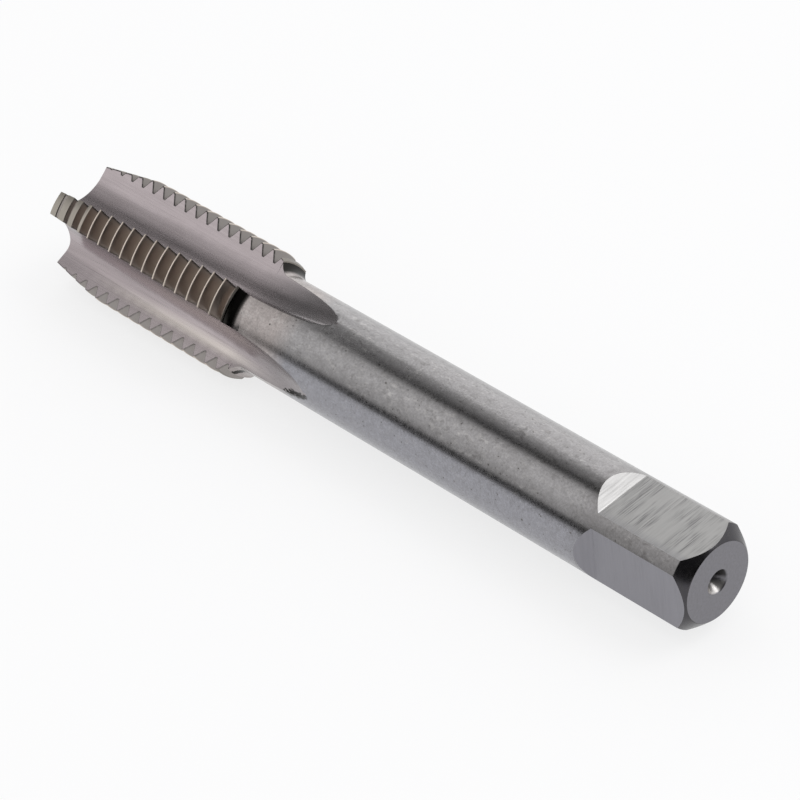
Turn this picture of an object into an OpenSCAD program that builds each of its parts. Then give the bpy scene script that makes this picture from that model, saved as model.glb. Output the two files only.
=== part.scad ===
// Hand tap for a metric coarse thread, ground from one bar of high-speed steel.
// The drive end is at the origin and the body runs along -X to the threaded tip.
// One chip flute faces straight up, so the tap lies on its two lower lands.

/* [Body] */
// Overall length, from the drive end to the tip
overall_l = 102; // [90:1:130]
// Diameter of the plain shank and of the neck behind the thread
shank_d = 12.5; // [11:0.1:13]
// Length of the chamfer round the drive end, along the axis and across it
end_chamfer = 1.45; // [0.4:0.05:2]

/* [Driving square] */
// Width of the square across its flats
square_af = 10; // [9:0.1:10.5]
// Length of the flats, from the drive end
square_l = 13; // [9:0.5:18]
// Angle at which the cutter's exit slope climbs from a flat to the shank
square_slope = 34; // [20:1:60]
// Turn of the square about the axis against the flutes
square_turn = 6.5; // [0:0.5:45]

/* [Thread] */
// Outer diameter over the crests
thread_d = 16.15; // [15:0.05:17]
// Distance from one crest to the next
pitch = 2; // [1.5:0.25:2]
// Length of the threaded part, from the tip to the shoulder's face
thread_l = 32.15; // [26:0.05:40]
// Depth of the thread from crest to root
thread_depth = 1.3; // [0.6:0.01:1.35]
// Width of the flat at the bottom of each groove
root_flat = 0.33; // [0.1:0.01:0.4]
// Angle between the two flanks of a groove
thread_angle = 60; // [50:1:60]
// Distance of the first groove from the tip, measured in the top flute
first_groove = 1.05; // [0.2:0.05:1.4]

/* [Taper lead] */
// Length of the ground taper that starts the cut
lead_l = 8; // [4:0.5:12]
// Diameter at the tip
tip_d = 13.4; // [12.5:0.1:14]

/* [Shoulder behind the thread] */
// Length of the bevel on the back of the last threads
bevel_l = 1.7; // [0.4:0.1:3]
// Drop of the bevel from the outer diameter
bevel_drop = 0.6; // [0.2:0.05:0.8]
// Radius of the fillet between the shoulder's face and the neck
fillet_r = 1.9; // [0.4:0.1:2.4]

/* [Chip flutes] */
// Number of flutes, and of lands between them
flutes = 4; // [3:1:4]
// Distance from the axis to the lowest line of a flute, at the tip
core_r = 3.2; // [2.8:0.1:3.8]
// Angle at which the flute's lowest line climbs towards the shank
core_taper = 2; // [0:0.1:2.5]
// Length of the flute at that slope, before the grinding wheel lifts out
flute_l = 29.7; // [24:0.1:40]
// Radius of the grinding wheel, which sweeps the run-out
wheel_r = 86; // [40:1:120]
// Shift of the lowest line from the middle of the flute towards the cutting face
flute_low = 1.45; // [0:0.05:1.6]
// Radius of the flute on the heel side
heel_r = 5.6; // [4:0.1:6]
// Slope at which the heel wall leaves that radius
heel_slope = 47; // [40:1:60]
// Radius of the flute at the foot of the cutting face
face_r = 1.7; // [1.2:0.1:2.4]
// Slope at which the cutting face leaves that radius
face_slope = 61; // [50:1:70]

/* [Centre holes] */
// Diameter at the mouth of the centre hole in the drive end
centre_mouth_d = 3; // [2.4:0.1:4]
// Diameter of its pilot
centre_pilot_d = 1.5; // [1:0.1:2]
// Depth of the pilot, from the drive end
centre_pilot_l = 2.6; // [2.4:0.1:4]
// Diameter at the mouth of the centre hole in the tip
tip_mouth_d = 3; // [2.4:0.1:4]
// Full angle of the cone of a centre hole
centre_angle = 60; // [60:1:90]
// Full angle of the drill point at the end of a pilot
drill_angle = 118; // [100:1:140]

/* [Hidden] */
// Number of sides that round forms are previewed with, and that the wheel's wide sweep needs
$fn = 96;
sweep_fn = 360;
// What a cutter reaches past the surface that it opens
reach = 0.1;
// Clear height of a cutter over the outer diameter
over = 1;
shank_r = shank_d / 2;
thread_r = thread_d / 2;
tip_r = tip_d / 2;
root_r = thread_r - thread_depth;
square_r = square_af / 2;
shoulder_z = overall_l - thread_l;
bevel_r = thread_r - bevel_drop;
flute_step = 360 / flutes;
land_turn = flute_step / 2;
// Half of the angle that a straight wall overlaps the end of an arc
lap = 2;
// Height of the shoulder over the neck, and the share of it that the fillet reaches
shoulder_h = bevel_r - shank_r;
fillet_share = 0.96;
// The fillet's sunk section ends between its top and the bevel's edge
sunk_share = 0.98;
// The helix climbs one pitch a turn, measured halfway down the flanks
lead_angle = atan(pitch / (PI * (thread_d - thread_depth)));
// A groove's cutter spans its own land and stops inside the flutes beside it
span_share = 0.75;
groove_span = span_share * flute_step;
// A square has four sides, whatever the number of flutes
sides = 4;
// Where the flute's straight stretch ends and the wheel starts to lift
lift_z = overall_l - flute_l;
lift_x = core_r + flute_l * tan(core_taper);
// Height of the flute's section, so that it clears the outer diameter at the tip
section_h = thread_r + over - core_r;
// Sweep of the wheel until its rim has left the thread's outer diameter
lift_sweep = acos(1 - (thread_r - lift_x) / wheel_r);

// Half section of the fillet in front of the shoulder, sunk a little into what it joins
module fillet_section() {
    middle = fillet_r * cos(lap);
    top = min(fillet_r * (cos(lap) - sin(lap)), fillet_share * shoulder_h);
    width = min(middle, sunk_share * shoulder_h);
    drop = sqrt(pow(fillet_r, 2) - pow(middle - top, 2));
    difference() {
        translate([shank_r - over, shoulder_z - drop])
            square([over + width, drop + over / 2]);
        translate([shank_r + middle, shoulder_z - drop])
            circle(fillet_r);
    }
}

// Turned blank: end chamfer, shank, shoulder, thread diameter and taper lead
module blank() {
    rotate_extrude() {
        polygon([
            [0, 0],
            [shank_r - end_chamfer, 0],
            [shank_r, end_chamfer],
            [shank_r, shoulder_z],
            [bevel_r, shoulder_z],
            [thread_r, shoulder_z + bevel_l],
            [thread_r, overall_l - lead_l],
            [tip_r, overall_l],
            [0, overall_l]
        ]);
        fillet_section();
    }
}

// What one pass of the cutter takes off for a flat of the square, with its exit slope
module square_flat() {
    slope_x = shank_r - square_r + over;
    rotate([90, 0, 0])
        linear_extrude(2 * shank_d, center = true)
            polygon([
                [square_r, -over],
                [square_r + slope_x, -over],
                [square_r + slope_x, square_l + slope_x / tan(square_slope)],
                [square_r, square_l]
            ]);
}

// The far end of a chord that spans twice `lap` of an arc, cut at its middle. A wall that
// leaves there at that slope crosses the arc cleanly and runs on almost tangent to it.
function wall_start(r, slope) = [r * (1 - cos(lap) * cos(slope)), r * cos(lap) * sin(slope)];

// A quarter of a disc that rests on the flute's lowest line, on one side of it
module quarter(r, side) {
    intersection() {
        translate([r, 0])
            circle(r);
        translate([-over, side > 0 ? 0 : -r - over])
            square([r + over, r + over]);
    }
}

// Cross-section of a flute: x is the height over its lowest line, y goes to the heel
module flute_section() {
    heel = wall_start(heel_r, heel_slope);
    face = wall_start(face_r, face_slope);
    heel_top = heel.y + (section_h - heel.x) / tan(heel_slope);
    face_top = face.y + (section_h - face.x) / tan(face_slope);
    translate([0, -flute_low]) {
        quarter(heel_r, 1);
        quarter(face_r, -1);
        polygon([
            heel,
            [section_h, heel_top],
            [section_h, -face_top],
            [face.x, -face.y]
        ]);
    }
}

// One flute along +X of the turned blank: a straight stretch, then the wheel's lift
module flute() {
    translate([lift_x, 0, lift_z])
        rotate([0, -core_taper, 0]) {
            linear_extrude(flute_l / cos(core_taper) + over)
                flute_section();
            translate([wheel_r, 0, 0])
                rotate([-90, 0, 180])
                    rotate_extrude(angle = lift_sweep, $fn = sweep_fn)
                        translate([wheel_r, 0])
                            mirror([1, 0])
                                mirror([0, 1])
                                    flute_section();
        }
}

// One groove of the thread across one land, a part ring tilted to the helix
module groove() {
    half_root = root_flat / 2;
    half_top = half_root + (thread_depth + reach) * tan(thread_angle / 2);
    rotate([lead_angle, 0, 0])
        rotate([0, 0, -groove_span / 2])
            rotate_extrude(angle = groove_span)
                polygon([
                    [root_r, -half_root],
                    [thread_r + reach, -half_top],
                    [thread_r + reach, half_top],
                    [root_r, half_root]
                ]);
}

// The grooves of a right-hand thread, each land a part of a pitch after the last
module grooves() {
    for (land = [0 : flutes - 1]) {
        turn = land_turn + land * flute_step;
        first_z = overall_l - first_groove + pitch * (turn / 360 - (turn > 180 ? 1 : 0));
        last = floor((first_z - shoulder_z) / pitch);
        for (row = [0 : last])
            translate([0, 0, first_z - row * pitch])
                rotate([0, 0, turn])
                    groove();
    }
}

// A centre hole drilled along +Z from the origin: its cone, pilot and drill point
module centre_hole(mouth_d, pilot_d, pilot_l) {
    cone_l = (mouth_d - pilot_d) / 2 / tan(centre_angle / 2);
    point_l = pilot_d / 2 / tan(drill_angle / 2);
    rotate_extrude()
        polygon([
            [0, -over],
            [mouth_d / 2, -over],
            [mouth_d / 2, 0],
            [pilot_d / 2, cone_l],
            [pilot_d / 2, pilot_l],
            [0, pilot_l + point_l]
        ]);
}

// The tap with its axis on Z and its drive end at the origin
module tap_upright() {
    difference() {
        blank();
        grooves();
        for (i = [0 : flutes - 1])
            rotate([0, 0, i * flute_step])
                flute();
        for (i = [0 : sides - 1])
            rotate([0, 0, i * 360 / sides - square_turn])
                square_flat();
        centre_hole(centre_mouth_d, centre_pilot_d, centre_pilot_l);
        translate([0, 0, overall_l])
            mirror([0, 0, 1])
                centre_hole(tip_mouth_d, centre_pilot_d, centre_pilot_l);
    }
}

// The whole tap, a single piece
module tap() {
    color("#96918f")
        rotate([0, -90, 0])
            tap_upright();
}

tap();
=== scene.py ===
"""Hand tap for a coarse metric thread: visual model, studio stage and camera.

The tap is one surface on a grid. Its rows follow one another along the axis, from the
drive end to the tip, and its columns go round it. Lengths are in metres and angles in
degrees, in the frame of the CAD part: the drive end is at the origin, the tip at -X, and
+Z goes through the middle of one flute.
"""

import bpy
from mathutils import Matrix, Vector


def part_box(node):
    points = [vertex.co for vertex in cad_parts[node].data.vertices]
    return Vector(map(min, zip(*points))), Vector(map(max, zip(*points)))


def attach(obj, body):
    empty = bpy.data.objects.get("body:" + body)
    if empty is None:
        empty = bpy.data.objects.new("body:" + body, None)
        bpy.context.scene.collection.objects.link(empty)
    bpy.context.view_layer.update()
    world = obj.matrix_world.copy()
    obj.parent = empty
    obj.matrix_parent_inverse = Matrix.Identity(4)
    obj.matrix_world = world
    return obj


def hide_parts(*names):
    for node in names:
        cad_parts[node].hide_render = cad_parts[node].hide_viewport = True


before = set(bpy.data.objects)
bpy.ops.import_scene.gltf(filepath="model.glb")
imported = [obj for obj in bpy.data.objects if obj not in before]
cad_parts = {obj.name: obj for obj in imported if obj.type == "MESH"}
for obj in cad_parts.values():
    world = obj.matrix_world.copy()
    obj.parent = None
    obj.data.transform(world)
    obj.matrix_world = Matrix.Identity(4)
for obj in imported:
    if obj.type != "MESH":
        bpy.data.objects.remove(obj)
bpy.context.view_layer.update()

import bmesh
import bpy
import numpy as np
from bpy.props import FloatProperty, FloatVectorProperty, PointerProperty
from mathutils import Euler

bl_info = {
    "name": "Hand tap",
    "version": (1, 0, 0),
    "blender": (4, 2, 0),
    "location": "3D View > Sidebar > Tap",
    "description": "Builds a straight-flute hand tap and a plain studio for it",
    "category": "Object",
}

MM = 0.001


def linear(code):
    """A colour written as sRGB hex, in linear light."""
    channels = [int(code[i : i + 2], 16) / 255 for i in (1, 3, 5)]
    return [c / 12.92 if c <= 0.04045 else ((c + 0.055) / 1.055) ** 2.4 for c in channels]


def length(name, description, millimetres):
    """A length property with its default in millimetres."""
    return FloatProperty(
        name=name, description=description, default=millimetres * MM, unit="LENGTH", precision=5
    )


def degrees(name, description, value):
    """A plain number property that holds an angle in degrees."""
    return FloatProperty(name=name, description=description, default=value)


def colour(name, description, code):
    """A colour property with its default as sRGB hex."""
    return FloatVectorProperty(
        name=name,
        description=description,
        default=linear(code),
        subtype="COLOR",
        size=3,
        min=0,
        max=1,
    )


class TapSizes(bpy.types.PropertyGroup):
    """Sizes of the tap. All but the edge break are those of the CAD part."""

    overall_l: length("Overall length", "From the drive end to the tip", 102)
    shank_d: length("Shank diameter", "Plain shank and the neck behind the thread", 12.5)
    end_chamfer: length("End chamfer", "Along the axis and across it", 1.45)
    edge_break: length("Edge break", "Small break of the turned edges", 0.06)
    square_af: length("Square", "Across the flats", 10)
    square_l: length("Square length", "Length of the flats", 13)
    square_slope: degrees("Exit slope", "Slope from a flat up to the shank", 34)
    square_turn: degrees("Turn of the square", "Against the flutes", 6.5)
    thread_d: length("Thread diameter", "Over the crests", 16.15)
    pitch: length("Pitch", "From one crest to the next", 2)
    thread_l: length("Thread length", "From the tip to the shoulder", 32.15)
    thread_depth: length("Thread depth", "From crest to root", 1.3)
    root_flat: length("Root flat", "Width of the bottom of a groove", 0.33)
    flank: degrees("Flank angle", "Half of the angle between the flanks", 30)
    first_groove: length("First groove", "From the tip, in the top flute", 1.05)
    lead_l: length("Lead length", "Taper that starts the cut", 8)
    tip_d: length("Tip diameter", "Of the taper at the tip", 13.4)
    bevel_l: length("Bevel length", "On the back of the last threads", 1.7)
    bevel_drop: length("Bevel drop", "From the outer diameter", 0.6)
    fillet_r: length("Fillet radius", "Between the shoulder and the neck", 1.9)
    core_r: length("Core radius", "Axis to a flute's lowest line, at the tip", 3.2)
    core_taper: degrees("Core taper", "Climb of the lowest line towards the shank", 2)
    flute_l: length("Flute length", "Before the grinding wheel lifts out", 29.7)
    wheel_r: length("Wheel radius", "Of the grinding wheel", 86)
    flute_low: length("Low line", "Shift of the lowest line to the cutting face", 1.45)
    heel_r: length("Heel radius", "Of the flute on its heel side", 5.6)
    heel_slope: degrees("Heel slope", "Of the wall that leaves that radius", 47)
    face_r: length("Face radius", "At the foot of the cutting face", 1.7)
    face_slope: degrees("Face slope", "Of the cutting face", 61)
    centre_mouth_r: length("Centre hole mouth", "Radius of the mouth", 1.5)
    centre_pilot_r: length("Centre hole pilot", "Radius of the pilot", 0.75)
    centre_pilot_l: length("Pilot depth", "From the end face", 2.6)
    centre_angle: degrees("Centre hole cone", "Half of its angle", 30)
    drill_angle: degrees("Drill point", "Half of its angle, at the bottom of a pilot", 59)


class TapColours(bpy.types.PropertyGroup):
    """Colours of the steel as it shows on each ground surface."""

    shank: colour("Shank", "Cylindrical grinding, satin", "#a4a2a3")
    # Painted reflection of the floor: the shank's lower side is painted cooler and darker
    shank_floor_reflection: colour("Lower shank", "Cooler where it faces the floor", "#9d9da3")
    neck: colour("Neck", "Behind the thread, cleaner and warmer", "#b6adaa")
    speck: colour("Speck", "Pits, specks and dull places", "#5f5c5a")
    # Light scuffs, and the painted glint at the bottom of the drive end's hole
    scuff_and_glint: colour("Scuff", "Light scuffs on the shank, and steel that a centre has rubbed", "#c9c6c4")
    flute: colour("Flute", "Lengthwise grinding, a little mauve", "#b5abad")
    # Painted highlight on the lower wall of the front flute
    painted_highlight: colour("Painted highlight", "Lower wall of the front flute, pale and warm", "#dcd4cc")
    flute_dark: colour("Flute shade", "Darker streaks and clouds in the flutes", "#8f8687")
    crest: colour("Crest", "Bare crests of the thread", "#d2c6bb")
    lead: colour("Lead", "Ground tops of the taper lead and of the last threads", "#a19b92")
    flank: colour("Flank", "Outer part of the flanks, browned by oil", "#978a82")
    groove: colour("Groove", "Grooves on the lands without oil", "#9c9794")
    root: colour("Root", "Bottom of the oiled grooves, lighter and warm", "#b2a8a0")
    # Lit and shaded copies of one finish: painted light on the upper flats, painted shade on the
    # lower ones
    flat_painted_light: colour("Upper flats", "Cross-ground, bright", "#b4b3b2")
    flat_painted_shade: colour("Lower flats", "Smoother, grey", "#8f8e94")
    flat_mark: colour("Grinding mark", "Marks across the flats, and dull ground steel", "#807f80")
    end: colour("End", "Turned end face", "#818085")
    # Grime, and painted shade in the upper fillet, at the front of the bevel's end and at the top of
    # the drive end's hole
    grime_and_painted_shade: colour("Oxide", "Black oxide in the fillet behind the thread, and grime", "#2c2b29")
    scale: colour("Scale", "Dark hardening scale on the end chamfer", "#4a494d")
    floor: colour("Floor", "Plain pale floor", "#f2f2f4")


def smooth(t):
    """The cubic 3t^2 - 2t^3, held at 0 and 1 outside the range."""
    t = np.clip(t, 0, 1)
    return t * t * (3 - 2 * t)


# Flutes round the tap, and the angle from one to the next. A land lies between the two.
FLUTES = 4
FLUTE_STEP = 360 / FLUTES
# Share of the shoulder's height that the fillet reaches
FILLET_SHARE = 0.96

# Columns of the grid: each quarter has those of one flute and those of the land after it.
# Places of a flute's inner columns, across it from its lowest line: on the side of the
# cutting face, and on the side of the heel
FACE_SIDE = np.array([-1.5, -1.2, -0.9, -0.6, -0.3, 0.0, 0.35]) * MM
HEEL_SIDE = np.array([1.05, 1.5, 2.0, 2.5, 3.0, 3.5]) * MM
# Place of the column between the two, and the least distance that both edges keep from it
RUNOUT_MID = 0.7 * MM
RUNOUT_WINDOW = 0.35 * MM
# Where a flute narrows, each side is drawn in to this share of the way to its edge
FACE_SHARE = 0.9
HEEL_SHARE = 0.93
# A flute also has that middle column, its two edges and one column halfway to each edge
FLUTE_COLUMNS = len(FACE_SIDE) + len(HEEL_SIDE) + 5
LAND_COLUMNS = 13
QUARTER = FLUTE_COLUMNS + LAND_COLUMNS
COLUMNS = FLUTES * QUARTER
# How far across a flute its edges are looked for, and how often that range is halved
FACE_LIMIT = -6 * MM
HEEL_LIMIT = 9 * MM
HALVINGS = 40
# Angle on either side of a land's middle over which the rows follow the helix exactly
EXACT_HELIX = 28
# Least angle from a flat's middle to the columns of its edges, where its exit slope is over
LEAST_FLAT = 3

# Rows of the grid: a millimetre apart on the plain shank, one where the flutes have just
# run out, and closer ones from a little behind it
PLAIN_ROWS = np.arange(16, 56) * MM
RUNOUT_END = 56.5 * MM
RUNOUT_ROWS = 57 * MM
# The columns leave the square's places at the first plain row and start to go over to the
# flutes' places here. Each change takes the same length.
FLUTE_START = 43 * MM
CHANGE = 12 * MM
# Rows per pitch: flanks, root flats and crests then start and end on a row
ROWS_PER_PITCH = 24
# Length behind the shoulder's face over which the rows take up the helix
HELIX_START = 0.5 * MM
# Depth under the outer surface from which a face belongs to a flute
FLUTE_CUT = 0.002 * MM
# Distance at which two points are one, and the angle from which an edge is sharp
MERGE = 0.001 * MM
SHARP_ANGLE = 25


def shoulder_z(s):
    """Height of the shoulder's face along the axis."""
    return s.overall_l - s.thread_l


def flat_start(s):
    """Height at which the flats of the square start, on the end chamfer."""
    return s.square_af / 2 - s.shank_d / 2 + s.end_chamfer


def shoulder(s):
    """Radius where the shoulder's bevel starts, and the angle that the fillet in front of
    the shoulder's face turns through on its way up to it."""
    bevel = s.thread_d / 2 - s.bevel_drop
    climb = FILLET_SHARE * (bevel - s.shank_d / 2)
    return bevel, np.arccos(max(1 - climb / s.fillet_r, 0))


def blank_radius(s, z):
    """Radius of the turned blank at height z: straight lines through its corners, and an
    arc that leaves the neck along the axis and climbs to the shoulder's face."""
    r, b, face = s.shank_d / 2, s.edge_break, shoulder_z(s)
    bevel, turn = shoulder(s)
    corners = [
        (0, r - s.end_chamfer - b / 2),
        (b / 2, r - s.end_chamfer + b / 2),
        (s.end_chamfer - b / 2, r - b / 2),
        (s.end_chamfer + b, r),
        (face, r),
        (face + b / 4, bevel),
        (face + s.bevel_l, s.thread_d / 2),
        (s.overall_l - s.lead_l, s.thread_d / 2),
        (s.overall_l, s.tip_d / 2),
    ]
    drop = s.fillet_r * np.sin(turn)
    arc = s.fillet_r - np.sqrt(s.fillet_r**2 - np.clip(z - face + drop, 0, drop) ** 2)
    return np.interp(z, *np.transpose(corners)) + np.where(z <= face, arc, 0)


def thread_radius(s, z, phi):
    """Radius of the thread's helical grooves: the root, then a flank that climbs with the
    distance along the axis from the nearest groove's middle. The middle climbs one pitch
    a turn, and each land's last groove lies behind the shoulder's face."""
    turn = FLUTE_STEP * (np.floor(phi / FLUTE_STEP) % FLUTES + 0.5)
    first = s.overall_l - s.first_groove + s.pitch * (turn / 360 - (turn > 180))
    off = (phi - turn + 180) % 360 - 180
    last = np.floor((first - shoulder_z(s)) / s.pitch)
    middle = first + s.pitch * off / 360
    row = np.clip(np.round((middle - z) / s.pitch), 0, last)
    away = np.abs(z - middle + row * s.pitch)
    root = s.thread_d / 2 - s.thread_depth
    return root + np.maximum(away - s.root_flat / 2, 0) / np.tan(np.radians(s.flank))


def outer_radius(s, z, phi):
    """The blank, cut back by the thread's grooves."""
    return np.minimum(blank_radius(s, z), thread_radius(s, z, phi))


def flat_height(s, z):
    """Distance of the square's flats from the axis: level, then climbing the exit slope."""
    climb = np.maximum(z - s.square_l, 0) * np.tan(np.radians(s.square_slope))
    return s.square_af / 2 + climb


def section_height(s, u):
    """Height of a flute's section over its lowest line: an arc on each side that turns
    into a straight wall where it reaches the wall's slope."""
    radius = np.where(u >= 0, s.heel_r, s.face_r)
    slope = np.radians(np.where(u >= 0, s.heel_slope, s.face_slope))
    foot = radius * np.sin(slope)
    inside = np.minimum(np.abs(u), foot)
    return radius - np.sqrt(radius**2 - inside**2) + (np.abs(u) - inside) * np.tan(slope)


def flute_depth(s, u, z):
    """Distance from the axis plane to the flute's surface, at u across it and z along it:
    the section carried along a line that sinks towards the tip by the core's taper, and
    round the grinding wheel's centre where the wheel lifts out."""
    taper = np.radians(s.core_taper)
    lift_z = s.overall_l - s.flute_l
    lift_x = s.core_r + s.flute_l * np.tan(taper)
    h = section_height(s, u)
    straight = lift_x - np.tan(taper) * (z - lift_z) + h / np.cos(taper)
    centre_x = lift_x + s.wheel_r * np.cos(taper)
    centre_z = lift_z + s.wheel_r * np.sin(taper)
    swept = centre_x - np.sqrt(np.maximum((s.wheel_r - h) ** 2 - (z - centre_z) ** 2, 0))
    return np.where(z - lift_z >= h * np.sin(taper), straight, swept)


def helix_shift(s, phi):
    """Climb of a row along the helix, counted from the middle of its land: exact over the
    land, and led back to nothing towards the middle of each flute."""
    half = FLUTE_STEP / 2
    off = phi % FLUTE_STEP - half
    back = np.sign(off) * EXACT_HELIX * (half - np.abs(off)) / (half - EXACT_HELIX)
    return s.pitch / 360 * np.where(np.abs(off) <= EXACT_HELIX, off, back)


def flute_point(s, u, row_z, helix, flute):
    """Radius, angle and height of a flute's point at u across, on a row that follows the
    helix: the height moves the point a little, so it is worked out three times."""
    z = row_z
    for _ in range(3):
        x = flute_depth(s, u, z)
        y = u - s.flute_low
        phi = np.degrees(np.arctan2(y, x)) + FLUTE_STEP * flute
        z = np.minimum(row_z + helix * helix_shift(s, phi), s.overall_l)
    return np.hypot(x, y), phi, z


def flute_edge(s, row_z, helix, flute, far):
    """Where a flute's surface comes out of the tap's outer surface, between its lowest
    part and u = far, by halving the range again and again."""
    near = np.full(np.broadcast(row_z, flute).shape, RUNOUT_MID)
    far = np.full_like(near, far)
    for _ in range(HALVINGS):
        u = (near + far) / 2
        r, phi, z = flute_point(s, u, row_z, helix, flute)
        inside = r < outer_radius(s, z, phi)
        near = np.where(inside, u, near)
        far = np.where(inside, far, u)
    return (near + far) / 2


def between(start, end, count):
    """count evenly spaced values inside start and end, without the two."""
    share = np.arange(1, count + 1) / (count + 1)
    return start[..., None] + (end - start)[..., None] * share


def body_rows(s):
    """Heights of the rows from the drive end to the tip, and each row's share of the
    helix: close where an outline curves, and ROWS_PER_PITCH to a pitch on the thread."""
    _, turn = shoulder(s)
    face = shoulder_z(s)
    neck = face - s.fillet_r * np.sin(turn)
    chamfer = s.end_chamfer + s.edge_break
    flat = flat_start(s)
    edge = np.degrees(np.arccos(s.square_af / s.shank_d))
    apex_r = s.shank_d / 2 * np.cos(np.radians(np.linspace(edge, 0, 13)))
    slope_rows = s.square_l + (apex_r - s.square_af / 2) / np.tan(np.radians(s.square_slope))
    plain = np.concatenate([
        # Chamfer, with closer rows where the flats cut into it
        [0, s.edge_break / 2, flat * 0.6],
        flat + (chamfer - flat) * np.linspace(0, 1, 12) ** 2,
        [s.end_chamfer - s.edge_break / 2],
        # Square, with the curved ends of its exit slopes
        np.linspace(chamfer, s.square_l, 8)[1:-1],
        slope_rows,
        slope_rows[-1] + np.array([0.1, 0.4]) * MM,
        # Shank, and the neck with the flutes' run-outs
        PLAIN_ROWS,
        [RUNOUT_END],
        RUNOUT_ROWS + (neck - RUNOUT_ROWS) * np.linspace(0, 1, 29) ** 2,
        # Fillet and shoulder
        neck + s.fillet_r * np.sin(turn * np.linspace(0, 1, 16)[1:]),
        [face + s.edge_break / 4],
    ])
    plain = np.unique(np.round(plain, 9))
    # On the thread the rows are counted from a groove's middle, on the first land
    step = s.pitch / ROWS_PER_PITCH
    top = s.overall_l - s.first_groove + s.pitch * FLUTE_STEP / 2 / 360
    count = np.arange(-int((top - plain[-1]) / step), int((s.overall_l - top) / step) + 3)
    thread = top + count * step
    thread = thread[thread > plain[-1] + step / 3]
    z = np.concatenate([plain, thread, [s.overall_l + 2 * step]])
    helix = smooth((z - plain[-1]) / HELIX_START)
    return z, helix


def fluted_columns(s, row_z, helix):
    """Radius and angle of the flutes' columns, and the angle of those on the lands. The
    first and the last column of a flute are its edges, and the ones between are drawn in
    where it narrows. Past the run-outs all stay as they are there."""
    row_z = np.maximum(row_z, RUNOUT_END)
    quarter = np.arange(FLUTES)[None, :]
    face = flute_edge(s, row_z, helix, quarter, FACE_LIMIT)[..., None]
    heel = flute_edge(s, row_z, helix, quarter, HEEL_LIMIT)[..., None]
    face = np.minimum(face, RUNOUT_MID - RUNOUT_WINDOW)
    heel = np.maximum(heel, RUNOUT_MID + RUNOUT_WINDOW)
    draw_face = np.minimum(1, FACE_SHARE * (RUNOUT_MID - face) / (RUNOUT_MID - FACE_SIDE[0]))
    draw_heel = np.minimum(1, HEEL_SHARE * (heel - RUNOUT_MID) / (HEEL_SIDE[-1] - RUNOUT_MID))
    inner_face = RUNOUT_MID + draw_face * (FACE_SIDE - RUNOUT_MID)
    inner_heel = RUNOUT_MID + draw_heel * (HEEL_SIDE - RUNOUT_MID)
    middle = np.full(face.shape, RUNOUT_MID)
    u = np.concatenate([
        face, (face + inner_face[..., :1]) / 2, inner_face, middle,
        inner_heel, (inner_heel[..., -1:] + heel) / 2, heel,
    ], axis=2)
    r, phi, _ = flute_point(s, u, row_z[..., None], helix[..., None], quarter[..., None])
    next_face = np.roll(phi[..., 0], -1, axis=1)
    next_face[:, -1] += 360
    land_phi = between(phi[..., -1], next_face, LAND_COLUMNS)
    return r, np.concatenate([phi, land_phi], axis=2)


def squared_columns(s, row_z, middle):
    """Angle of the columns near the drive end: those of a flute lie across a flat of the
    square, and those of a land round the corner after it."""
    share = np.minimum(flat_height(s, row_z) / blank_radius(s, row_z), 1)
    edge = np.maximum(np.degrees(np.arccos(share)), LEAST_FLAT) + 0 * middle
    flat_phi = middle[..., None] + edge[..., None] * np.linspace(-1, 1, FLUTE_COLUMNS)
    corner_phi = between(middle + edge, middle + FLUTE_STEP - edge, LAND_COLUMNS)
    return np.concatenate([flat_phi, corner_phi], axis=2)


def body_grid(s):
    """Radius, angle and height of every grid point between the two end faces, with its
    depth under the outer surface and under the turned blank. Near the drive end the
    columns follow the edges of the square, on the thread those of the flutes, and between
    the two they go over to even spacing."""
    row_z, helix = body_rows(s)
    rz, hx = row_z[:, None], helix[:, None]
    quarter = np.arange(FLUTES)[None, :]
    column = np.arange(QUARTER)
    # Angle of each flat's middle
    middle = FLUTE_STEP * quarter - s.square_turn + 0 * rz
    flute_r, fluted = fluted_columns(s, rz, hx)
    squared = squared_columns(s, rz, middle)
    even = FLUTE_STEP * (quarter[..., None] + (column - FLUTE_COLUMNS // 2) / QUARTER)
    phi = squared + (even - squared) * smooth((rz - PLAIN_ROWS[0]) / CHANGE)[..., None]
    phi = phi + (fluted - phi) * smooth((rz - FLUTE_START) / CHANGE)[..., None]
    z = np.minimum(rz[..., None] + hx[..., None] * helix_shift(s, phi), s.overall_l)
    outer = outer_radius(s, z, phi)
    flat_r = flat_height(s, z) / np.cos(np.radians(phi - middle[..., None]))
    on_flat = (rz[..., None] < PLAIN_ROWS[0]) & (column < FLUTE_COLUMNS)
    r = np.where(on_flat, np.minimum(outer, flat_r), outer)
    # The flutes are cut from the row at their run-outs' end on
    has_flutes = (rz > (PLAIN_ROWS[-1] + RUNOUT_END) / 2)[..., None]
    ground = np.minimum(flute_r, outer[..., :FLUTE_COLUMNS])
    r[..., :FLUTE_COLUMNS] = np.where(has_flutes, ground, r[..., :FLUTE_COLUMNS])
    cut, sunk = outer - r, blank_radius(s, z) - r
    return [grid.reshape(-1, COLUMNS) for grid in (r, phi, z, cut, sunk)]


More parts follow.
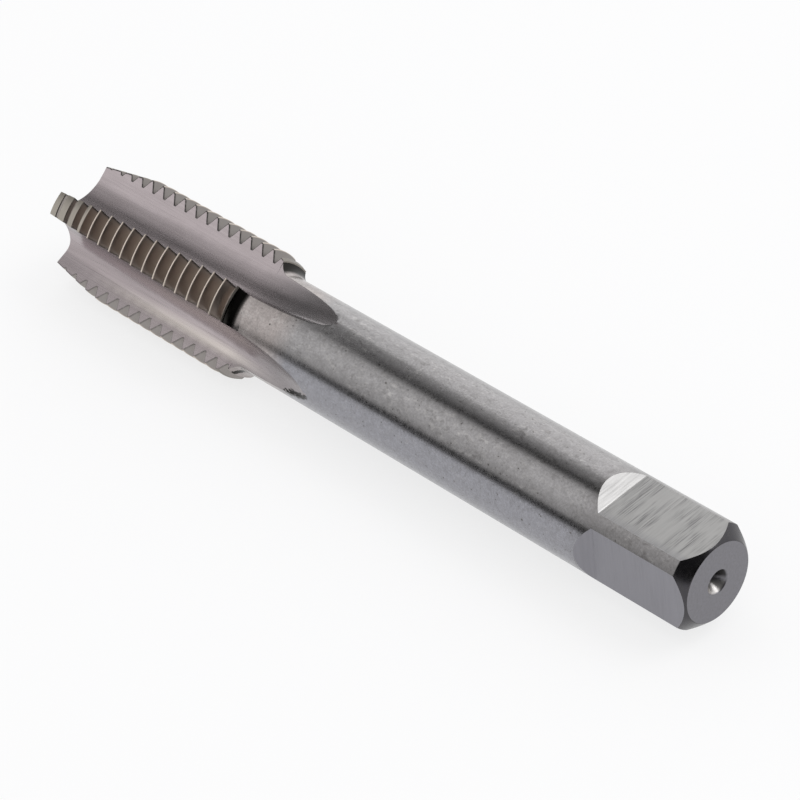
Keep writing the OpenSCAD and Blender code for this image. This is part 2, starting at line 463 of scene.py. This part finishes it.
def hole_grid(s, plane, inward):
    """Circles of a centre hole, from its mouth inwards: a small break of the edge, the
    cone, the pilot and the drill's point. inward is 1 or -1, the way along the axis."""
    mouth, pilot = s.centre_mouth_r, s.centre_pilot_r
    break_out, break_in, break_l = 0.04 * MM, 0.02 * MM, 0.05 * MM
    cone_l = (mouth - pilot) / np.tan(np.radians(s.centre_angle))
    point_l = pilot / np.tan(np.radians(s.drill_angle))
    bottom = s.centre_pilot_l
    r = np.array([mouth + break_out, mouth - break_in, (mouth + pilot) / 2, pilot, pilot, 0])
    depth = np.array([0, break_l, cone_l / 2, cone_l, bottom, bottom + point_l])
    phi = 360 / COLUMNS * np.arange(COLUMNS)
    return r[:, None] + 0 * phi, phi + 0 * r[:, None], plane + inward * depth[:, None] + 0 * phi


# Places of the materials in the tap's list of materials
SHANK, SQUARE, END, SCALE, FLUTE, THREAD = range(6)


def tap_surface(s):
    """Points, faces, each face's material, and each point's depth under the turned blank
    and its place on a flute's edge: the drive end's hole from its bottom outwards, the
    body's rows, and the tip's hole inwards. The two flat end faces are still open."""
    r, phi, z, cut, sunk = body_grid(s)
    first = [grid[::-1] for grid in hole_grid(s, 0, 1)]
    last = hole_grid(s, s.overall_l, -1)
    start, stop = len(first[0]), len(first[0]) + len(r)
    all_r = np.concatenate([first[0], r, last[0]])
    all_phi = np.radians(np.concatenate([first[1], phi, last[1]]))
    all_z = np.concatenate([first[2], z, last[2]])
    points = np.stack([-all_z, all_r * np.sin(all_phi), all_r * np.cos(all_phi)], axis=-1)
    rows = len(all_r)
    i, j = np.meshgrid(np.arange(rows - 1), np.arange(COLUMNS), indexing="ij")
    k = (j + 1) % COLUMNS
    this_row, next_row = i * COLUMNS, (i + 1) * COLUMNS
    faces = np.stack([this_row + j, this_row + k, next_row + k, next_row + j], axis=-1)
    # Material of each face from its place on the grid
    mid_z = (all_z[:-1].mean(axis=1) + all_z[1:].mean(axis=1))[:, None] / 2 + 0 * j
    in_flute = (j % QUARTER) < FLUTE_COLUMNS - 1
    slope_end = s.square_l + (s.shank_d - s.square_af) / 2 / np.tan(np.radians(s.square_slope))
    material = np.full(faces.shape[:2], SHANK)
    material[(mid_z > flat_start(s)) & (mid_z < slope_end) & in_flute] = SQUARE
    material[(mid_z < s.end_chamfer) & (material != SQUARE)] = SCALE
    material[(mid_z > shoulder_z(s)) & ~in_flute] = THREAD
    deepest = np.zeros(faces.shape[:2])
    deepest[start : stop - 1] = np.maximum(cut[:-1], cut[1:])
    deepest = np.maximum(deepest, np.roll(deepest, -1, axis=1))
    material[(mid_z > RUNOUT_END) & in_flute & (deepest > FLUTE_CUT)] = FLUTE
    material[:start] = END
    material[stop - 1 :] = END
    under, rim = np.zeros(all_r.shape), np.zeros(all_r.shape)
    under[start:stop] = sunk
    rim[start:stop] = np.isin(np.arange(COLUMNS) % QUARTER, (0, FLUTE_COLUMNS - 1))
    # The rows of faces that would join a hole's mouth to the body are left out
    kept = ~np.isin(np.arange(rows - 1), (start - 1, stop - 1))
    values = {"under": under.reshape(-1) / MM, "rim": rim.reshape(-1)}
    return points.reshape(-1, 3), faces[kept].reshape(-1, 4), material[kept].reshape(-1), values


def mesh_object(name, points, faces, materials, indices, values, end_planes):
    """A new object at the origin from arrays: doubles merged, the flat ring in each end's
    plane filled, faces outwards, and smooth where they meet at less than the sharp angle.
    The values become attributes: "under", the depth under the turned blank in millimetres,
    and "rim", which is 1 on the edges of the flutes."""
    mesh = bpy.data.meshes.new(name)
    mesh.from_pydata(points.tolist(), [], faces.tolist())
    mesh.polygons.foreach_set("material_index", indices.astype(np.int32))
    for key, value in values.items():
        mesh.attributes.new(key, "FLOAT", "POINT").data.foreach_set("value", value)
    for material in materials:
        mesh.materials.append(material)
    work = bmesh.new()
    work.from_mesh(mesh)
    bmesh.ops.remove_doubles(work, verts=work.verts, dist=MERGE)
    bmesh.ops.dissolve_degenerate(work, edges=work.edges, dist=MERGE / 10)
    for x in end_planes:
        ring = [e for e in work.edges if e.is_boundary and abs(e.verts[0].co.x - x) < MERGE]
        filled = bmesh.ops.triangle_fill(work, edges=ring, use_beauty=True)["geom"]
        for face in (part for part in filled if isinstance(part, bmesh.types.BMFace)):
            face.material_index = END
    bmesh.ops.recalc_face_normals(work, faces=work.faces)
    work.to_mesh(mesh)
    work.free()
    mesh.polygons.foreach_set("use_smooth", np.ones(len(mesh.polygons), dtype=bool))
    mesh.set_sharp_from_angle(angle=np.radians(SHARP_ANGLE))
    mesh.validate()
    item = bpy.data.objects.new(name, mesh)
    bpy.context.scene.collection.objects.link(item)
    return item


# Directions that the looks change along. FRONT is the side that the photograph shows, and
# PICTURE_UP points upwards in the photograph, square to the axis.
TO_TIP = (-1, 0, 0)
UP = (0, 0, 1)
FRONT = (0, -1, 0)
FRONT_UP = (0, -1, 1)
BACK_UP = (0, 1, 1)
PICTURE_UP = np.array((0, 0.731, 0.682))


def add(tree, kind, inputs=None, **settings):
    """Adds a node with its settings, its input values and the links into it."""
    made = tree.nodes.new(kind)
    for key, value in settings.items():
        setattr(made, key, value)
    for key, value in (inputs or {}).items():
        if isinstance(value, bpy.types.NodeSocket):
            tree.links.new(value, made.inputs[key])
        else:
            made.inputs[key].default_value = value
    return made


def new_material(name):
    """An empty material with its node tree and output."""
    material = bpy.data.materials.new(name)
    material.use_nodes = True
    tree = material.node_tree
    tree.nodes.clear()
    return material, tree, add(tree, "ShaderNodeOutputMaterial")


def rgba(value):
    """A colour property as a shader colour. A link stays as it is."""
    return value if isinstance(value, bpy.types.NodeSocket) else (*value, 1.0)


def lines(tree, along, across, detail=2.0):
    """Noise drawn out into lines: along and across are its sizes in metres, along and
    across the tap's axis, so a short first size gives rings and a long one streaks."""
    place = add(tree, "ShaderNodeTexCoord")
    scale = (1 / along, 1 / across, 1 / across)
    spread = add(tree, "ShaderNodeMapping", {"Vector": place.outputs["Object"], "Scale": scale})
    return add(tree, "ShaderNodeTexNoise", {
        "Vector": spread.outputs["Vector"], "Scale": 1.0, "Detail": detail, "Roughness": 0.6,
    }).outputs["Fac"]


def towards(tree, way):
    """How far a place lies from the origin along a direction, in millimetres."""
    place = add(tree, "ShaderNodeTexCoord").outputs["Object"]
    unit = tuple(np.array(way) / np.linalg.norm(way) / MM)
    along = add(tree, "ShaderNodeVectorMath", {0: place, 1: unit}, operation="DOT_PRODUCT")
    return along.outputs["Value"]


def mask(tree, *bands):
    """Product of bands. Each takes a value from one range to another and holds it past
    the ends: the value, its low and high, and what those become, 0 and 1 unless given."""
    product = None
    for value, low, high, *ends in bands:
        to_low, to_high = ends or (0.0, 1.0)
        band = add(tree, "ShaderNodeMapRange", {
            "Value": value, "From Min": low, "From Max": high, "To Min": to_low, "To Max": to_high,
        }).outputs["Result"]
        if product is None:
            product = band
        else:
            both = add(tree, "ShaderNodeMath", {0: product, 1: band}, operation="MULTIPLY")
            product = both.outputs[0]
    return product


def around(value, middle, half):
    """Two bands of a mask: 1 close to the middle, down to 0 at half to either side."""
    core = 0.3 * half
    rising = (value, middle - half, middle - core)
    falling = (value, middle + core, middle + half, 1.0, 0.0)
    return rising, falling


def layered(tree, base, *layers):
    """A colour with others over it. Each layer is a mask and the colour that it shows."""
    for factor, over in layers:
        inputs = {"Factor": factor, 6: rgba(base), 7: rgba(over)}
        base = add(tree, "ShaderNodeMix", inputs, data_type="RGBA").outputs[2]
    return base


def steel(tree, out, base, rough, height, depth):
    """Bare steel: metallic, with its colour, roughness and a relief of that depth."""
    bump = add(tree, "ShaderNodeBump", {"Height": height, "Distance": depth, "Strength": 1.0})
    shader = add(tree, "ShaderNodeBsdfPrincipled", {
        "Base Color": base, "Metallic": 1.0, "Roughness": rough, "Normal": bump.outputs["Normal"],
    })
    tree.links.new(shader.outputs["BSDF"], out.inputs["Surface"])


# Patches of grime on the front of the tap, each with its middle and half of its size along
# the axis and along SMUDGE_RISE, which leans a little to the tip, all in millimetres
SMUDGE_RISE = (-0.307, 0, 1)
SMUDGES = (((58.6, 3.6), (15.42, 0.75)), ((69.3, 1.5), (16.2, 0.5)))


def smudges(tree, c):
    """Layers of dark flakes: where the front flute runs out, and by the last tooth below."""
    flakes = lines(tree, 0.5 * MM, 0.16 * MM, 3.0)
    z, rise = towards(tree, TO_TIP), towards(tree, SMUDGE_RISE)
    front = (towards(tree, FRONT), 3.5, 4.5)
    layers = []
    for along, across in SMUDGES:
        patch = mask(tree, *around(z, *along), *around(rise, *across))
        level = add(tree, "ShaderNodeMath", {0: patch, 1: 0.45, 2: flakes}, operation="MULTIPLY_ADD")
        layers.append((mask(tree, (level.outputs[0], 0.76, 0.82), front), c.grime_and_painted_shade))
    return layers


def edge_grime(tree, c, low, high, *bands):
    """Layer of grime along the edges of the flutes, thickest on the upper land at the back."""
    rim = add(tree, "ShaderNodeAttribute", attribute_name="rim").outputs["Fac"]
    back = towards(tree, BACK_UP)
    broken = lines(tree, 0.3 * MM, 0.3 * MM)
    edge = ((rim, low, high), (back, -4, 4, 0.45, 1.0), (broken, 0.3, 0.5, 0.5, 1.0))
    return mask(tree, *edge, *bands), c.grime_and_painted_shade


def shank_material(s, c):
    """Cylindrically ground high-speed steel: satin, finely speckled, with light scuffs, dull
    stains and small pits, and a painted reflection that paints the side facing the floor
    cooler and darker. The neck next to the thread is cleaner, and its fillet is painted
    black on the upper lands as painted shade."""
    material, tree, out = new_material("ground_high_speed_steel")
    rings = lines(tree, 0.15 * MM, 3 * MM)
    speckle = lines(tree, 0.25 * MM, 0.25 * MM, 3.0)
    blotches = lines(tree, 0.9 * MM, 0.9 * MM)
    scuffs = lines(tree, 0.9 * MM, 0.5 * MM, 3.0)
    stains = lines(tree, 0.8 * MM, 0.6 * MM, 3.0)
    pits = lines(tree, 0.45 * MM, 0.45 * MM, 1.0)
    low = towards(tree, -PICTURE_UP)
    z, up = towards(tree, TO_TIP), towards(tree, UP)
    # Places along the axis in millimetres: the square's end, the run-outs' and the shoulder
    square, runout, face = s.square_l / MM, RUNOUT_END / MM, shoulder_z(s) / MM
    # Scuffs and stains come in groups and are few on the lower side. The edges of the flutes
    # are grimy where these run out, and less so along the neck.
    worn = ((lines(tree, 5 * MM, 3 * MM), 0.42, 0.6, 0.25, 1.0), (low, 2, 3, 1.0, 0.25))
    edges = ((z, runout + 0.5, runout + 2.5, 0.0, 0.9), (z, runout + 7.5, runout + 11.5, 1.0, 0.3))
    base = layered(
        tree, c.shank,
        # Painted reflection: the side that faces the floor is painted cooler and darker
        (mask(tree, (low, 2, 3)), c.shank_floor_reflection),
        (mask(tree, (z, runout + 3.5, runout + 6.5, 0.0, 0.85)), c.neck),
        (mask(tree, (speckle, 0.35, 0.7, 0.0, 0.3)), c.speck),
        (mask(tree, (blotches, 0.4, 0.75, 0.0, 0.2)), c.speck),
        (mask(tree, (scuffs, 0.53, 0.68, 0.0, 0.42), *worn), c.scuff_and_glint),
        (mask(tree, (stains, 0.45, 0.34, 0.0, 0.4), *worn), c.speck),
        (mask(tree, (pits, 0.72, 0.77)), c.speck),
        (mask(tree, (z, square + 3, square, 0.0, 0.28)), c.speck),
        edge_grime(tree, c, 0.7, 0.95, *edges),
        # Painted shade: the fillet behind the thread is painted black on the upper lands
        (mask(tree, (z, face - 1.1, face - 0.7), (up, -3, -1)), c.grime_and_painted_shade),
        *smudges(tree, c),
    )
    steel(tree, out, base, mask(tree, (speckle, 0.3, 0.7, 0.18, 0.28)), rings, 0.0012 * MM)
    return material


def square_material(s, c):
    """Flats ground across the axis, with marks square to the shank. The two flats that
    lie upwards are painted brighter, as painted light, and show more marks than the two
    below, which are painted grey as painted shade. The exit slopes are smoother."""
    material, tree, out = new_material("cross_ground_steel")
    marks = lines(tree, 0.14 * MM, 4 * MM, 3.0)
    groups = lines(tree, 1.5 * MM, 5 * MM)
    upper = towards(tree, BACK_UP)
    square = s.square_l / MM
    slope = (towards(tree, TO_TIP), square, square + 0.1)
    grey = ((marks, 0.4, 0.7), (groups, 0.42, 0.6, 0.1, 1.0), (upper, -1, 1, 0.15, 1.0))
    # Painted light and shade: the flats that face up are painted brighter than those below
    base = layered(
        tree, c.flat_painted_shade,
        (mask(tree, (upper, -1, 1)), c.flat_painted_light),
        (mask(tree, *grey, (*slope, 1.0, 0.35)), c.flat_mark),
        (mask(tree, (*slope, 0.0, 0.42), (upper, -1, 1, 0.2, 1.0)), c.flat_mark),
    )
    relief = mask(tree, (*slope, 0.002 * MM, 0.0004 * MM))
    steel(tree, out, base, mask(tree, (marks, 0.3, 0.7, 0.28, 0.4)), marks, relief)
    return material


def end_material(c):
    """Turned end face, plain grey. The drive end's hole is painted nearly black above, as
    painted shade, and bright below, as a painted glint."""
    material, tree, out = new_material("turned_steel")
    marks = lines(tree, 0.3 * MM, 0.3 * MM, 3.0)
    z, up = towards(tree, TO_TIP), towards(tree, UP)
    # Inside the drive end's hole, and not in the tip's
    hole = ((z, 0.05, 0.2), (z, 50, 51, 1.0, 0.0))
    base = layered(
        tree, c.end,
        (mask(tree, (marks, 0.3, 0.7, 0.0, 0.2)), c.speck),
        # Painted shade at the top of the drive end's hole, and a painted glint at its bottom
        (mask(tree, *hole, (up, -0.5, 0.1, 0.0, 0.9)), c.grime_and_painted_shade),
        (mask(tree, *hole, (up, -0.5, -0.9)), c.scuff_and_glint),
    )
    steel(tree, out, base, mask(tree, (marks, 0.3, 0.7, 0.3, 0.4)), marks, 0.003 * MM)
    return material


def scale_material(c):
    """Turned chamfer, not ground after hardening: dark grey, half dull."""
    material, tree, out = new_material("hardened_steel_scale")
    marks = lines(tree, 0.3 * MM, 0.6 * MM, 3.0)
    base = layered(tree, c.scale, (mask(tree, (marks, 0.3, 0.7, 0.0, 0.3)), c.speck))
    steel(tree, out, base, mask(tree, (marks, 0.3, 0.7, 0.2, 0.3)), marks, 0.003 * MM)
    return material


def flute_material(s, c):
    """Flutes ground lengthwise by the wheel: long soft streaks, a little mauve, darker
    where the wheel lifts out and along their edges. The front flute has painted shade under
    its upper edge, is darker along its floor near the tip, and has a pale, warm painted
    highlight on its lower wall."""
    material, tree, out = new_material("flute_ground_steel")
    streaks = lines(tree, 18 * MM, 0.22 * MM)
    clouds = lines(tree, 6 * MM, 1.5 * MM)
    z, up, front = towards(tree, TO_TIP), towards(tree, UP), towards(tree, FRONT)
    face = shoulder_z(s) / MM
    # Painted shade under the front flute's upper edge, a darker floor near the tip, and a painted
    # highlight on its lower wall
    dull = ((front, 3, 3.4), (up, -0.6, 0.8, 0.0, 0.45), (z, face + 5, face + 10))
    hollow = ((front, 3, 3.4), (front, 4.7, 4), (up, -1.2, -1.7), (z, face + 9, face + 17, 0.0, 0.4))
    wall = ((front, 4, 4.8), (front, 5, 5.7, 1.0, 0.1), (up, -1.8, -2.5))
    painted_highlight = ((z, face - 4, face + 1, 0.25, 0.6), (z, face + 27, face + 14))
    base = layered(
        tree, c.flute,
        (mask(tree, (streaks, 0.35, 0.7, 0.0, 0.2)), c.flute_dark),
        (mask(tree, (clouds, 0.45, 0.75, 0.0, 0.2)), c.flute_dark),
        # Painted shade under the front flute's upper edge
        (mask(tree, *dull), c.speck),
        (mask(tree, *hollow), c.flute_dark),
        # Painted highlight, pale and warm, on the front flute's lower wall
        (mask(tree, *wall, *painted_highlight), c.painted_highlight),
        (mask(tree, (z, face + 2, face - 7, 0.0, 0.6)), c.flat_mark),
        edge_grime(tree, c, 0.83, 0.93),
        *smudges(tree, c),
    )
    steel(tree, out, base, mask(tree, (streaks, 0.3, 0.7, 0.2, 0.3)), streaks, 0.0006 * MM)
    return material


def thread_material(s, c):
    """Ground thread: thin bare crests over grey flanks, which oil has browned on the land
    between the two upper flutes and dulled on the land behind. The tops are wider and greyer
    on the taper lead and the bevel."""
    material, tree, out = new_material("thread_ground_steel")
    under = add(tree, "ShaderNodeAttribute", attribute_name="under").outputs["Fac"]
    grain = lines(tree, 0.25 * MM, 0.9 * MM, 3.0)
    z = towards(tree, TO_TIP)
    front, back = towards(tree, FRONT_UP), towards(tree, BACK_UP)
    # Places along the axis, in millimetres: the bevel's end and the start of the taper lead
    bevel_end = (shoulder_z(s) + s.bevel_l) / MM
    lead = (s.overall_l - s.lead_l) / MM
    depth = s.thread_depth / MM
    oiled = layered(tree, c.flank, (mask(tree, (under, 0.2 * depth, 0.9 * depth)), c.root))
    groove = layered(
        tree, c.groove,
        (mask(tree, (back, 3, 5, 0.0, 0.35)), c.speck),
        (mask(tree, (front, 4.5, 6), (z, lead + 1, lead + 6, 1.0, 0.2)), oiled),
    )
    base = layered(
        tree, c.lead,
        (mask(tree, (z, bevel_end - 0.3, bevel_end, 0.5, 0.0)), c.speck),
        # Painted shade: the end of the bevel is painted black on the front land
        (mask(tree, (z, bevel_end - 0.3, bevel_end, 0.75, 0.0), (front, 4, 6)), c.grime_and_painted_shade),
        (mask(tree, (z, bevel_end - 0.2, bevel_end + 0.2), (z, lead, lead + 2, 1.0, 0.0)), c.crest),
        (mask(tree, (under, 0.02, 0.1)), groove),
        (mask(tree, (grain, 0.4, 0.75, 0.0, 0.15)), c.flank),
        edge_grime(tree, c, 0.1, 0.7, (under, 0.02, 0.15)),
    )
    steel(tree, out, base, mask(tree, (grain, 0.3, 0.7, 0.28, 0.38)), grain, 0.003 * MM)
    return material


class TAP_OT_body(bpy.types.Operator):
    """Builds the tap as one closed surface in place of the CAD node."""

    bl_idname = "tap.body"
    bl_label = "Tap body"

    def execute(self, context):
        s, c = context.scene.tap_sizes, context.scene.tap_colours
        points, faces, indices, values = tap_surface(s)
        materials = [
            shank_material(s, c), square_material(s, c), end_material(c), scale_material(c),
            flute_material(s, c), thread_material(s, c),
        ]
        ends = (0, -s.overall_l)
        body = mesh_object("tap_body", points, faces, materials, indices, values, ends)
        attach(body, "root")
        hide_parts("tap")
        return {"FINISHED"}


class TapStudio(bpy.types.PropertyGroup):
    """Light and camera of the plain studio."""

    world: FloatProperty(name="World", description="Light from all round", default=0.9)
    key: FloatProperty(name="Key lamp", description="Power of the soft lamp, in watts", default=0.77)
    fill: FloatProperty(name="Fill lamp", description="Power of the far lamp, in watts", default=0.5)
    pale: FloatProperty(name="Pale floor", description="Share of plain white in it", default=0.75)
    lens: FloatProperty(name="Lens", description="Focal length in millimetres", default=153.67)


# Camera's place in metres and its turn in degrees, fitted to the photograph's outlines
CAMERA_PLACE = (0.18102, -0.20990, 0.22482)
CAMERA_TURN = (54.0216, 1.9953, 45.9931)
# Directions of the card in front of the tap: to the camera, and along the card
TO_CAMERA = np.array((0.596, -0.548, 0.587))
CARD_RIGHT = np.array((0.7826, 0.4246, -0.455))


def rectangle(start, end):
    """Corners of a rectangle square to one axis, from two that lie opposite each other."""
    first, second = (axis for axis in range(3) if start[axis] != end[axis])
    corners = [list(start), list(start), list(end), list(start)]
    corners[1][first] = end[first]
    corners[3][second] = end[second]
    return corners


def panel(name, corners, material):
    """A flat sheet through four corners, for the stage."""
    mesh = bpy.data.meshes.new(name)
    mesh.from_pydata(corners, [], [(0, 1, 2, 3)])
    mesh.materials.append(material)
    item = bpy.data.objects.new(name, mesh)
    bpy.context.scene.collection.objects.link(item)
    return item


def soft_lamp(name, power, size, place):
    """A square area lamp that faces the tap."""
    lamp = bpy.data.lights.new(name, "AREA")
    lamp.energy = power
    lamp.size = size
    item = bpy.data.objects.new(name, lamp)
    item.location = place
    item.rotation_euler = item.location.to_track_quat("Z", "Y").to_euler()
    bpy.context.scene.collection.objects.link(item)


def seen(tree):
    """1 for camera, glossy and transmission rays, so that the camera and the steel see
    the same white, and 0 for the rays that carry diffuse light."""
    path = add(tree, "ShaderNodeLightPath").outputs
    both = add(tree, "ShaderNodeMath", {
        0: path["Is Camera Ray"], 1: path["Is Glossy Ray"],
    }, operation="MAXIMUM").outputs[0]
    return add(tree, "ShaderNodeMath", {
        0: both, 1: path["Is Transmission Ray"],
    }, operation="MAXIMUM").outputs[0]


def floor_material(studio, c):
    """Matt pale floor. For camera and steel a share of it is plain white, which leaves
    the shadow soft."""
    material, tree, out = new_material("floor_paint")
    matt = add(tree, "ShaderNodeBsdfDiffuse", {"Color": rgba(c.floor)})
    white = add(tree, "ShaderNodeEmission", {"Color": (1, 1, 1, 1), "Strength": 1.0})
    share = add(tree, "ShaderNodeMath", {0: seen(tree), 1: studio.pale}, operation="MULTIPLY")
    both = add(tree, "ShaderNodeMixShader", {
        0: share.outputs[0], 1: matt.outputs[0], 2: white.outputs[0],
    })
    tree.links.new(both.outputs[0], out.inputs["Surface"])
    return material


def card_material(name, axis, stops):
    """Black card that the steel mirrors. Its opacity follows the stops, each a place in
    metres along the axis and an opacity, and changes evenly from one to the next."""
    material, tree, out = new_material(name)
    place = add(tree, "ShaderNodeTexCoord").outputs["Object"]
    part = add(tree, "ShaderNodeSeparateXYZ", {"Vector": place}).outputs[axis]
    opacity = stops[0][1]
    for (low, start), (high, end) in zip(stops, stops[1:]):
        opacity = add(tree, "ShaderNodeMath", {
            0: opacity, 1: mask(tree, (part, low, high, 0.0, end - start)),
        }).outputs[0]
    clear = add(tree, "ShaderNodeBsdfTransparent")
    black = add(tree, "ShaderNodeBsdfDiffuse", {"Color": (0.003, 0.003, 0.003, 1)})
    both = add(tree, "ShaderNodeMixShader", {0: opacity, 1: clear.outputs[0], 2: black.outputs[0]})
    tree.links.new(both.outputs[0], out.inputs["Surface"])
    return material


class TAP_OT_stage(bpy.types.Operator):
    """Builds the floor, the dark cards that the steel mirrors, the light and the camera."""

    bl_idname = "tap.stage"
    bl_label = "Studio"

    def execute(self, context):
        scene, studio = context.scene, context.scene.tap_studio
        floor_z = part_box("tap")[0][2]
        reach = 3
        floor = rectangle((-reach, -reach, floor_z), (reach, reach, floor_z))
        panel("floor", floor, floor_material(studio, scene.tap_colours))
        # The card in front lies between the tap and the camera and nearly faces both
        near, rise = 0.3 * TO_CAMERA, 0.3 * PICTURE_UP
        left, right = near - 0.36 * CARD_RIGHT, near + 0.3 * CARD_RIGHT
        # Each card has its corners, the axis that its stops lie along, and the stops
        cards = {
            "card_low": (
                rectangle((-0.137, -0.09, floor_z), (0.06, -0.09, 0.09)),
                "Z", [(0.015, 1), (0.020, 0.4), (0.09, 0)],
            ),
            "card_high": (
                rectangle((-0.172, -0.09, 0.15), (0, 0.095, 0.15)),
                "Y", [(-0.0875, 0), (-0.045, 0.22), (-0.023, 1), (-0.010, 1), (0.088, 0)],
            ),
            "card_left": (
                rectangle((-0.42, -0.12, 0.10), (-0.42, 0.37, 0.28)),
                "Y", [(-0.12, 0), (-0.08, 0.8)],
            ),
            "card_left_top": (
                rectangle((-0.42, -0.22, 0.28), (-0.42, 0.25, 0.44)),
                "Y", [(-0.22, 0), (-0.12, 0.28), (-0.02, 0.4), (0.04, 0.6), (0.09, 0.85)],
            ),
            "card_right": (
                rectangle((0.22, -0.13, floor_z), (0.22, 0.13, 0.12)),
                "Z", [(0.04, 1), (0.12, 0)],
            ),
            "card_front": (
                [left - rise, right - rise, right + rise, left + rise],
                "X", [(-0.10, 0), (0, 0.9)],
            ),
        }
        for name, (corners, axis, stops) in cards.items():
            card = panel(name, corners, card_material(name, axis, stops))
            card.visible_camera = False
            card.visible_diffuse = False
            card.visible_shadow = False
        world = bpy.data.worlds.new("studio")
        world.use_nodes = True
        tree = world.node_tree
        strength = mask(tree, (seen(tree), 0, 1, studio.world, 1.0))
        tree.links.new(strength, tree.nodes["Background"].inputs["Strength"])
        tree.nodes["Background"].inputs["Color"].default_value = (1, 1, 1, 1)
        scene.world = world
        soft_lamp("key_lamp", studio.key, 0.36, (0.25, 0.27, 0.58))
        soft_lamp("fill_lamp", studio.fill, 0.8, (-0.65, 0.65, 0.4))
        camera = bpy.data.objects.new("camera", bpy.data.cameras.new("camera"))
        camera.data.sensor_width = 36
        camera.data.lens = studio.lens
        camera.data.clip_start = 0.01
        camera.location = CAMERA_PLACE
        camera.rotation_euler = Euler(np.radians(CAMERA_TURN))
        scene.collection.objects.link(camera)
        scene.camera = camera
        scene.view_settings.view_transform = "Standard"
        return {"FINISHED"}


class TAP_PT_panel(bpy.types.Panel):
    """Lists the sizes, the colours, the studio's values and the two operators."""

    bl_idname = "TAP_PT_panel"
    bl_label = "Tap"
    bl_space_type = "VIEW_3D"
    bl_region_type = "UI"
    bl_category = "Tap"

    def draw(self, context):
        for group in (context.scene.tap_sizes, context.scene.tap_colours, context.scene.tap_studio):
            for key in group.bl_rna.properties.keys():
                if key not in ("rna_type", "name"):
                    self.layout.prop(group, key)
        for operator in OPERATORS:
            self.layout.operator(operator.bl_idname)


OPERATORS = (TAP_OT_body, TAP_OT_stage)
CLASSES = (TapSizes, TapColours, TapStudio, *OPERATORS, TAP_PT_panel)


def register():
    """Registers the classes, and keeps one group of each kind on the scene."""
    for cls in CLASSES:
        bpy.utils.register_class(cls)
    bpy.types.Scene.tap_sizes = PointerProperty(type=TapSizes)
    bpy.types.Scene.tap_colours = PointerProperty(type=TapColours)
    bpy.types.Scene.tap_studio = PointerProperty(type=TapStudio)


def unregister():
    """Takes the groups and the classes away again."""
    del bpy.types.Scene.tap_sizes
    del bpy.types.Scene.tap_colours
    del bpy.types.Scene.tap_studio
    for cls in reversed(CLASSES):
        bpy.utils.unregister_class(cls)


def main():
    """Builds everything."""
    register()
    bpy.ops.tap.body()
    bpy.ops.tap.stage()


if __name__ == "__main__":
    main()
